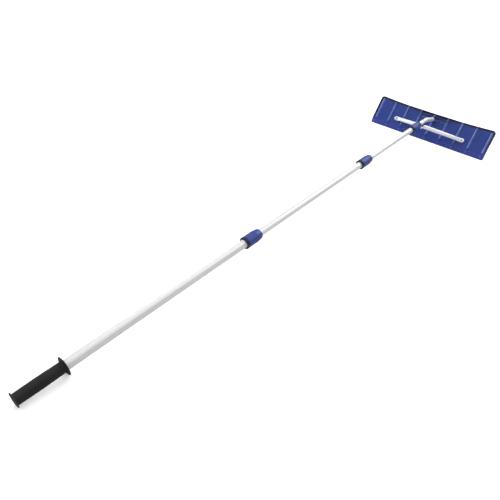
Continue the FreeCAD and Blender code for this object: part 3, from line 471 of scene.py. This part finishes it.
# one pale for the real worn corners and for the painted rib highlights
BLADE_WEAR_AND_HIGHLIGHT = (0.33, 0.42, 0.86)
# painted shade in the band: navy at the top and the ends, purple-blue along the scraping edge
BAND_SHADE_NAVY = (0.008, 0.007, 0.055)
BAND_FOOT_SHADE = (0.017, 0.034, 0.24)
blade_finish, tree, shader, bump = start_finish(
    "blade_blue_plastic", BLADE_BLUE, 0.0, 0.28, 0.00006, Specular_IOR_Level=0.5)
skin = place_group(tree, MOULDED_SKIN, Grain_Scale=900.0, Swell_Scale=26.0, Swell=1.6)
wear = place_group(tree, EDGE_WEAR, Width=0.0022, Breakup=160.0)
shade_band = place_group(tree, BLADE_SHADE_BAND)
place = add(tree, "ShaderNodeTexCoord")
marks = place_group(tree, HAND_MARKS, Point=place.outputs["Object"], Smear_Scale=7.0, Scratch_Scale=45.0)
body = blend_colours(tree, skin.outputs["Cloud"], BLADE_DEEP, BLADE_BLUE)
# painted shade: the panels turn more purple towards the bottom, and the band goes from navy at the top to
# purple-blue at the foot
lower_shade = span(tree, shade_band.outputs["Up"], 0.01, -0.06)
body = blend_colours(tree, math_step(tree, "MULTIPLY", lower_shade, 0.5), body, BLADE_LOW_SHADE)
edge = blend_colours(tree, lower_shade, BAND_SHADE_NAVY, BAND_FOOT_SHADE)
body = blend_colours(tree, shade_band.outputs["Mask"], body, edge)
inside = math_step(tree, "SUBTRACT", 1.0, math_step(tree, "MULTIPLY", shade_band.outputs["Mask"], 0.85))
# painted highlights on the rib crowns, joined with the worn corners into one pale
rib_highlights = place_group(tree, RIB_HIGHLIGHTS, Across=shade_band.outputs["Across"], Up=shade_band.outputs["Up"])
chipped = math_step(tree, "MULTIPLY", math_step(tree, "MULTIPLY", wear.outputs["Mask"], 0.5), inside)
patchy = span(tree, skin.outputs["Cloud"], 0.0, 1.0, 0.55, 0.85)
rib_highlight = math_step(tree, "MULTIPLY", rib_highlights.outputs["Mask"], patchy)
pale = math_step(tree, "MAXIMUM", chipped, rib_highlight)
tree.links.new(blend_colours(tree, pale, body, BLADE_WEAR_AND_HIGHLIGHT), shader.inputs["Base Color"])
rough = span(tree, marks.outputs["Smear"], 0.0, 1.0, 0.24, 0.36)
tree.links.new(math_step(tree, "ADD", rough, math_step(tree, "MULTIPLY", marks.outputs["Scratch"], 0.2)),
               shader.inputs["Roughness"])
relief = math_step(tree, "SUBTRACT", skin.outputs["Height"], marks.outputs["Scratch"])
tree.links.new(relief, bump.inputs["Height"])
rounded_corners(tree, bump, 0.0012)
print("finish", blade_finish.name)

# %% [markdown]
# ## Collar and lock-ring plastics
# The turning collars are a glass-filled nylon in the same blue, a little brighter and smoother because
# hands polish them. The fixed rings are a darker navy with a dull, finely grained skin, so the two
# halves of a lock are easy to tell apart.
# %% Finishes: collar and lock ring


def moulded_finish(name, colour, worn, roughness, grain, depth, corner):
    finish, tree, shader, bump = start_finish(name, colour, 0.0, roughness, depth)
    skin = place_group(tree, MOULDED_SKIN, Grain_Scale=grain, Swell_Scale=40.0, Swell=0.8)
    wear = place_group(tree, EDGE_WEAR, Width=corner, Breakup=420.0)
    place = add(tree, "ShaderNodeTexCoord")
    marks = place_group(
        tree, HAND_MARKS, Point=place.outputs["Object"], Smear_Scale=22.0, Scratch_Scale=120.0)
    deep = tuple(0.8 * c for c in colour)
    body = blend_colours(tree, skin.outputs["Cloud"], deep, colour)
    pale = math_step(tree, "MULTIPLY", wear.outputs["Mask"], 0.6)
    tree.links.new(blend_colours(tree, pale, body, worn), shader.inputs["Base Color"])
    tree.links.new(span(tree, marks.outputs["Smear"], 0.0, 1.0, roughness - 0.06, roughness + 0.08),
                   shader.inputs["Roughness"])
    tree.links.new(math_step(tree, "SUBTRACT", skin.outputs["Height"], marks.outputs["Scratch"]),
                   bump.inputs["Height"])
    rounded_corners(tree, bump, corner)
    return finish


collar_finish = moulded_finish("collar_blue_nylon", (0.028, 0.058, 0.27), (0.11, 0.17, 0.52), 0.30, 1500.0,
                               0.00004, 0.0006)
ring_finish = moulded_finish("lock_ring_navy_nylon", (0.006, 0.009, 0.05), (0.05, 0.06, 0.16), 0.42, 2400.0,
                             0.00005, 0.0005)
saddle_finish = moulded_finish("saddle_navy_nylon", (0.006, 0.008, 0.04), (0.05, 0.06, 0.16), 0.45, 2400.0,
                               0.00005, 0.0005)
inner_finish = moulded_finish("natural_nylon", (0.62, 0.60, 0.54), (0.8, 0.79, 0.74), 0.45, 2000.0,
                              0.00004, 0.0004)
print("finishes", collar_finish.name, ring_finish.name, inner_finish.name)

# %% [markdown]
# ## Grip rubber
# The grip is a soft black rubber sleeve. Rubber has no clear gloss at all, but it isn't flat either:
# light grazing it turns grey, and fine grain and dull rubbed patches break the black up.
# %% Finish: grip rubber
grip_finish, tree, shader, bump = start_finish(
    "grip_black_rubber", (0.010, 0.010, 0.010), 0.0, 0.5, 0.00012, Specular_IOR_Level=0.35)
shader.inputs["Sheen Weight"].default_value = 0.04
shader.inputs["Sheen Roughness"].default_value = 0.4
skin = place_group(tree, MOULDED_SKIN, Grain_Scale=1300.0, Swell_Scale=30.0, Swell=0.5)
wear = place_group(tree, EDGE_WEAR, Width=0.001, Breakup=240.0)
along = place_group(tree, POLE_DIRECTIONS)
marks = place_group(tree, HAND_MARKS, Point=along.outputs["Point"], Smear_Scale=16.0, Scratch_Scale=70.0)
body = blend_colours(tree, skin.outputs["Cloud"], (0.006, 0.006, 0.006), (0.011, 0.011, 0.011))
dull = math_step(tree, "MULTIPLY", wear.outputs["Mask"], 0.5)
tree.links.new(blend_colours(tree, dull, body, (0.045, 0.045, 0.047)), shader.inputs["Base Color"])
tree.links.new(span(tree, marks.outputs["Smear"], 0.0, 1.0, 0.46, 0.66), shader.inputs["Roughness"])
tree.links.new(skin.outputs["Height"], bump.inputs["Height"])
print("finish", grip_finish.name)

# %% [markdown]
# ## Drawn aluminium
# The tubes are drawn, then blasted and anodised to a pale, nearly matte silver. The thick clear film
# scatters light, so it is part metal and part pale skin: mostly a soft grey, with a weak broad
# highlight that the drawing lines spread sideways.
# %% Finish: aluminium tubes


def aluminium_finish(name, colour, metallic, roughness):
    finish, tree, shader, bump = start_finish(name, colour, metallic, roughness, 0.00001)
    along = place_group(tree, POLE_DIRECTIONS)
    lines = place_group(tree, DRAWING_LINES, Point=along.outputs["Point"], Fineness=900.0)
    marks = place_group(tree, HAND_MARKS, Point=along.outputs["Point"], Smear_Scale=6.0, Scratch_Scale=38.0)
    dim = tuple(0.93 * c for c in colour)
    tree.links.new(blend_colours(tree, lines.outputs["Streak"], dim, colour), shader.inputs["Base Color"])
    smear = math_step(tree, "MULTIPLY", marks.outputs["Smear"], 0.10)
    streak = math_step(tree, "MULTIPLY", lines.outputs["Streak"], 0.06)
    total = math_step(tree, "ADD", math_step(tree, "ADD", smear, streak), roughness - 0.05)
    tree.links.new(total, shader.inputs["Roughness"])
    tree.links.new(math_step(tree, "SUBTRACT", lines.outputs["Height"], marks.outputs["Scratch"]),
                   bump.inputs["Height"])
    return finish


tube_finish = aluminium_finish("pole_satin_aluminium", (0.92, 0.92, 0.925), 0.72, 0.52)
brace_finish = aluminium_finish("brace_satin_aluminium", (0.90, 0.93, 0.97), 0.35, 0.45)
print("finishes", tube_finish.name, brace_finish.name)

# %% [markdown]
# ## Plated steel
# Bolts, nuts and washers are zinc-plated. Plating is bright but slightly cloudy, with a cool tint that
# drifts over the surface.
# %% Finish: plated steel
steel_finish, tree, shader, bump = start_finish("zinc_plated_steel", (0.62, 0.63, 0.66), 1.0, 0.24, 0.00002)
skin = place_group(tree, MOULDED_SKIN, Grain_Scale=1800.0, Swell_Scale=120.0, Swell=0.5)
wear = place_group(tree, EDGE_WEAR, Width=0.0004, Breakup=500.0)
body = blend_colours(tree, skin.outputs["Cloud"], (0.56, 0.58, 0.63), (0.70, 0.70, 0.71))
bright = blend_colours(tree, wear.outputs["Mask"], body, (0.82, 0.82, 0.82))
tree.links.new(bright, shader.inputs["Base Color"])
tree.links.new(span(tree, skin.outputs["Cloud"], 0.0, 1.0, 0.18, 0.32), shader.inputs["Roughness"])
tree.links.new(skin.outputs["Height"], bump.inputs["Height"])
print("finish", steel_finish.name)

# %% [markdown]
# ## Dress the carried-over pieces
# Most pieces keep the exact shape they were drawn with, and only need their finish. The record says
# which finish each piece has, so one table from its words to the finishes above dresses them all.
# %% Give each piece its finish
FINISHES = {
    "grip_rubber": grip_finish, "pole_aluminium": tube_finish, "brace_aluminium": brace_finish,
    "blade_plastic": blade_finish, "collar_plastic": collar_finish, "sleeve_plastic": ring_finish,
    "inner_nylon": inner_finish, "saddle_plastic": saddle_finish, "rivet_steel": steel_finish,
    "fastener_steel": steel_finish,
}
for row in frame["record"]["subparts"]:
    piece = NODES[row["node"]]
    piece.data.materials.clear()
    piece.data.materials.append(FINISHES[row["material_slot"]])

# %% [markdown]
# ## A kit for turned pieces
# Grip, bolt heads and nuts are all shapes turned about a line, with a few steps that aren't round. One
# builder makes them: it takes rings of (radius, height) and a function that may pull a ring in or out
# at some angles. Each ring joins to the next one, and the last is capped or joined to the first, so
# every piece is a closed skin.
# %% Build a turned piece


def turned_piece(name, rings, steps, place, finish, shape=None, bored=False):
    """Rings of (radius, height) about +Z, capped or joined end to end, put in the world by a matrix."""
    mesh = bmesh.new()
    rows = []
    for radius, height in rings:
        row = []
        for step in range(steps):
            turn = math.tau * step / steps
            reach = radius if shape is None else shape(radius, height, turn)
            row.append(mesh.verts.new((reach * math.cos(turn), reach * math.sin(turn), height)))
        rows.append(row)
    for low, high in zip(rows, rows[1:] + (rows[:1] if bored else [])):
        for step in range(steps):
            after = (step + 1) % steps
            mesh.faces.new((low[step], low[after], high[after], high[step]))
    if not bored:
        mesh.faces.new(rows[0][::-1])
        mesh.faces.new(rows[-1])
    bmesh.ops.recalc_face_normals(mesh, faces=mesh.faces)
    mesh.transform(place)
    for face in mesh.faces:
        face.smooth = True
    data = bpy.data.meshes.new(name)
    mesh.to_mesh(data)
    mesh.free()
    data.materials.append(finish)
    piece = bpy.data.objects.new(name, data)
    bpy.context.scene.collection.objects.link(piece)
    data.set_sharp_from_angle(angle=math.radians(38))
    return piece


def arc_rings(radius, height, size, start, stop, count=5):
    """Rings that round a corner of this size, between two angles in degrees."""
    turns = [math.radians(start + (stop - start) * i / count) for i in range(count + 1)]
    return [(radius + size * math.cos(a), height + size * math.sin(a)) for a in turns]


print("turned-piece kit ready")

# %% [markdown]
# ## Grip
# The real grip is a rubber moulding pulled over the tube. The model's grip has its flanges and its
# hollow curves. This one adds what a mould gives it: a parting ridge along both sides, rolled rims, and
# a shallow dish with a raised ring in its closed end.
# %% Build the grip
GRIP_END = -2150.02
GRIP_LENGTH = 152.0
TUBE_BORE = 16.04
GRIP_BODY = 18.04
GRIP_SWELL = 0.8
END_RIM, FRONT_RIM = 24.0, 30.5
RIM_ROUND = 1.4
RIDGE = 0.35
RIDGE_FROM, RIDGE_TO = 5.5, 141.0
RIDGE_WIDTH = 0.05
FILLET = 7.0
DISH, DISH_RING = 1.0, 0.35
along_pole = POLE @ Matrix.Translation((0, GRIP_END, 0)) @ Matrix.Rotation(-math.pi / 2, 4, "X")


def grip_rings():
    """From the closed end's dish, round its flange, along the hand's part, and back down the bore."""
    rings = [(0.3, DISH), (9.0, DISH), (10.0, DISH_RING), (12.0, DISH_RING), (13.0, DISH), (17.0, DISH),
             (18.5, 0.0)]
    rings += arc_rings(END_RIM - RIM_ROUND, RIM_ROUND, RIM_ROUND, -90, 90, 8)
    rings += [(GRIP_BODY + 2.6, 2.9), (GRIP_BODY + 1.0, 3.7), (GRIP_BODY + 0.2, 5.2)]
    for i in range(17):
        share = i / 16
        rings.append((GRIP_BODY + GRIP_SWELL * 4 * share * (1 - share), 6.0 + 134.0 * share))
    rings += arc_rings(GRIP_BODY + FILLET, 142.0, FILLET, 180, 95, 7)
    rings += arc_rings(FRONT_RIM - RIM_ROUND, GRIP_LENGTH - 1.5, RIM_ROUND, -80, 90, 8)
    return rings + [(TUBE_BORE + 1.0, GRIP_LENGTH), (TUBE_BORE, GRIP_LENGTH - 0.8), (TUBE_BORE, 3.0),
                    (0.3, 3.0)]


def parting_ridge(radius, height, turn):
    """Lift the hand's part a little along the two lines where the mould's halves met."""
    if not RIDGE_FROM < height < RIDGE_TO or radius < TUBE_BORE + 1:
        return radius
    near = min(abs(math.sin(turn)), RIDGE_WIDTH) / RIDGE_WIDTH
    return radius + RIDGE * (1 - near)


grip_piece = turned_piece("rubber_grip", grip_rings(), 192, along_pole, grip_finish, parting_ridge)
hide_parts("grip")
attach(grip_piece, "lower_pole")
print("grip", [round(v, 3) for v in grip_piece.dimensions])

# %% [markdown]
# ## Bolt heads and lock nuts
# The bolts are dome-headed with a hexagon recess, and the nuts are lock nuts with a nylon ring. Turned
# rings make the dome and the thread, and a six-sided shape makes the recess and the nut's flats. The
# thread is plain rings and no helix, which looks the same at this size and keeps the mesh light.
# %% Rings of a bolt and a nut
SHANK, THREAD_ROOT, THREAD_PITCH, THREAD_TURNS = 2.98, 2.62, 1.0, 8
SHANK_PAST_NUT = 6.5
HEAD_RADIUS, HEAD_HEIGHT, HEAD_ROUND = 5.93, 3.4, 6.994
RECESS_MOUTH, RECESS_FOOT = 2.3, 2.31
NUT_CHAMFER, NUT_SIDE, NUT_FLAT, NUT_BORE = 4.8, 4.99, 5.0, 3.03
FLATS = {RECESS_MOUTH: 2.0, RECESS_FOOT: 2.0, NUT_CHAMFER: NUT_FLAT - 0.25, NUT_SIDE: NUT_FLAT}
NUT_RINGS = [(NUT_BORE, 0.0), (NUT_CHAMFER, 0.0), (NUT_SIDE, 0.25), (NUT_SIDE, 3.5), (NUT_CHAMFER, 3.75),
             (4.35, 3.9), (4.3, 4.6), (4.0, 4.95), (NUT_BORE, 4.95)]


def six_sided(radius, height, turn):
    """Rings whose radius is in FLATS become hexagons with that half-width, and the rest stay round."""
    if radius not in FLATS:
        return radius
    return FLATS[radius] / math.cos(turn % (math.pi / 3) - math.pi / 6)


def bolt_rings(length):
    """A bolt whose head sits on height 0, with its shank hanging below it for this length."""
    rings = [(0.3, -length), (2.5, -length)]
    for i in range(THREAD_TURNS):
        rings += [(SHANK, -length + (i + 0.5) * THREAD_PITCH),
                  (THREAD_ROOT, -length + (i + 1) * THREAD_PITCH)]
    rings += [(SHANK, -length + (THREAD_TURNS + 1) * THREAD_PITCH), (SHANK, 0.0),
              (5.7, 0.0), (HEAD_RADIUS, 0.2)]
    for i in range(7):
        height = 0.4 + 2.3 * i / 6
        rings.append((math.sqrt(HEAD_ROUND ** 2 - (height + HEAD_ROUND - HEAD_HEIGHT) ** 2), height))
    return rings + [(2.9, 2.7), (RECESS_MOUTH, 2.55), (RECESS_FOOT, 0.9), (0.3, 0.7)]


print("bolt rings", len(bolt_rings(20.0)), "nut rings", len(NUT_RINGS))

# %% [markdown]
# ## Putting bolts and nuts in place
# Each joint needs only its seats, the direction its heads face, and how much is clamped between head
# and nut. A foot's seat is found from the blade's middle, the cross bolt's from the end of the neck's
# bend, and the middle bolt's on the pole's own axis. All of them turn with the head.
# %% Build the fasteners
UP_BLADE = Vector((0.0, math.sin(BLADE_TILT), math.cos(BLADE_TILT)))
OUT_BLADE = Vector((0.0, -math.cos(BLADE_TILT), math.sin(BLADE_TILT)))
FOOT_DOWN, FOOT_OUT, FOOT_SIDE, FOOT_CLAMPED = 17.0, 9.84, 188.0, 14.08
SOCKET_UP, CROSS_BACK, CROSS_SIDE, CROSS_CLAMPED = 39.5, 5.5, 13.61, 28.44
BEND_FROM, BEND_RADIUS = 106.0, 95.0
BRACE_ALONG, BRACE_ABOVE, BRACE_CLAMPED = 86.0, 10.77, 42.75


def fasten(name, nodes, seats, direction, clamped):
    """A bolt at each seat with its head along direction, and its lock nut behind what is clamped."""
    turn = direction.to_track_quat("Z", "Y").to_matrix().to_4x4()
    for kind, rings, bored in (
            ("bolt", bolt_rings(clamped + SHANK_PAST_NUT), False), ("nut", NUT_RINGS, True)):
        for i, seat in enumerate(seats):
            place = POLE @ Matrix.Translation(seat) @ turn
            if bored:
                place = place @ Matrix.Translation((0, 0, -clamped)) @ Matrix.Rotation(math.pi, 4, "X")
            piece = turned_piece(f"{name}_{kind}_{i + 1}", rings, 48, place, steel_finish, six_sided, bored)
            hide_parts(nodes[kind])
            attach(piece, "head")
    print(name, "x", len(seats))


foot = BLADE_MIDDLE - FOOT_DOWN * UP_BLADE + FOOT_OUT * OUT_BLADE
fasten("foot", {"bolt": "brace_foot_bolts", "nut": "brace_foot_nuts"},
       [foot + Vector((side * FOOT_SIDE, 0, 0)) for side in (-1, 1)], OUT_BLADE, FOOT_CLAMPED)

socket = BLADE_MIDDLE + SOCKET_UP * UP_BLADE
lead = socket - Vector((0, BEND_FROM, -BEND_RADIUS))
bend = math.atan2(lead.y, lead.z) - math.acos(BEND_RADIUS / math.hypot(lead.y, lead.z))
cross = socket - CROSS_BACK * Vector((0, math.cos(bend), -math.sin(bend)))
fasten("socket", {"bolt": "neck_cross_bolt", "nut": "neck_cross_nut"},
       [cross + Vector((CROSS_SIDE, 0, 0))], Vector((1, 0, 0)), CROSS_CLAMPED)
fasten("brace", {"bolt": "brace_centre_bolt", "nut": "brace_centre_nut"},
       [Vector((0, BRACE_ALONG, BRACE_ABOVE))], Vector((0, 0, 1)), BRACE_CLAMPED)
